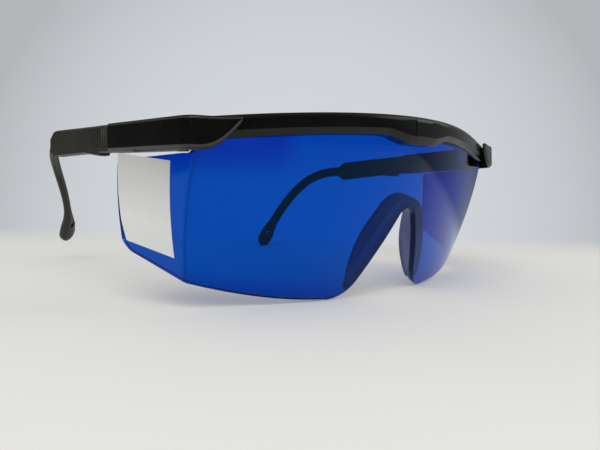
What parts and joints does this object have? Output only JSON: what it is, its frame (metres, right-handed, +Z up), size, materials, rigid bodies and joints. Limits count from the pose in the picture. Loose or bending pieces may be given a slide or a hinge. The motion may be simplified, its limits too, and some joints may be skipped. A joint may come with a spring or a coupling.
{
  "type": "laser safety glasses",
  "caption": "Wraparound laser safety glasses: tinted one-piece lens with side shields and nose flange, brow bar, and temples that tilt, fold and telescope.",
  "frame": {"origin": "centre of the base of the whole part, on the surface that it stands on", "axes": "+X towards the wearer's left, +Y from the front towards the ears, +Z up"},
  "size_m": [0.1544, 0.151, 0.0577],
  "materials": {
    "tinted_lens": "moulded polycarbonate, polished, blue filter tint",
    "black_nylon": "moulded black plastic, satin gloss",
    "brown_black_nylon": "moulded brown-black plastic, soft satin",
    "pin_steel": "turned steel pin"
  },
  "bodies": {
    "front": {"lens": "tinted_lens", "brow_bar": "black_nylon", "pitch_pin_right": "pin_steel", "pitch_pin_left": "pin_steel"},
    "hinge_right": {"hinge_block_right": "black_nylon"},
    "sleeve_right": {"temple_sleeve_right": "black_nylon", "fold_pin_right": "pin_steel"},
    "ear_right": {"ear_piece_right": "brown_black_nylon"},
    "hinge_left": {"hinge_block_left": "black_nylon"},
    "sleeve_left": {"temple_sleeve_left": "black_nylon", "fold_pin_left": "pin_steel"},
    "ear_left": {"ear_piece_left": "brown_black_nylon"}
  },
  "joints": [
    {"name": "lens_angle_right", "type": "hinge", "parent": "front", "child": "hinge_right", "pos_m": [-0.06486, -0.04975, 0.0487], "axis": [1, 0, 0], "range_deg": [-3.9, 7.8]},
    {"name": "fold_right", "type": "hinge", "parent": "hinge_right", "child": "sleeve_right", "pos_m": [-0.0702, -0.04615, 0.0486], "axis": [0, 0, 1], "range_deg": [-80, 0]},
    {"name": "length_right", "type": "slide", "parent": "sleeve_right", "child": "ear_right", "axis": [-0.0271, 0.9996, 0], "range_m": [0, 0.008]},
    {"name": "lens_angle_left", "type": "hinge", "parent": "front", "child": "hinge_left", "pos_m": [0.06486, -0.04975, 0.0487], "axis": [1, 0, 0], "range_deg": [0, 11.7]},
    {"name": "fold_left", "type": "hinge", "parent": "hinge_left", "child": "sleeve_left", "pos_m": [0.0702, -0.04616, 0.04836], "axis": [0, 0.068, 0.9977], "range_deg": [0, 80]},
    {"name": "length_left", "type": "slide", "parent": "sleeve_left", "child": "ear_left", "axis": [0.027, 0.9973, -0.068], "range_m": [0, 0.008]}
  ]
}
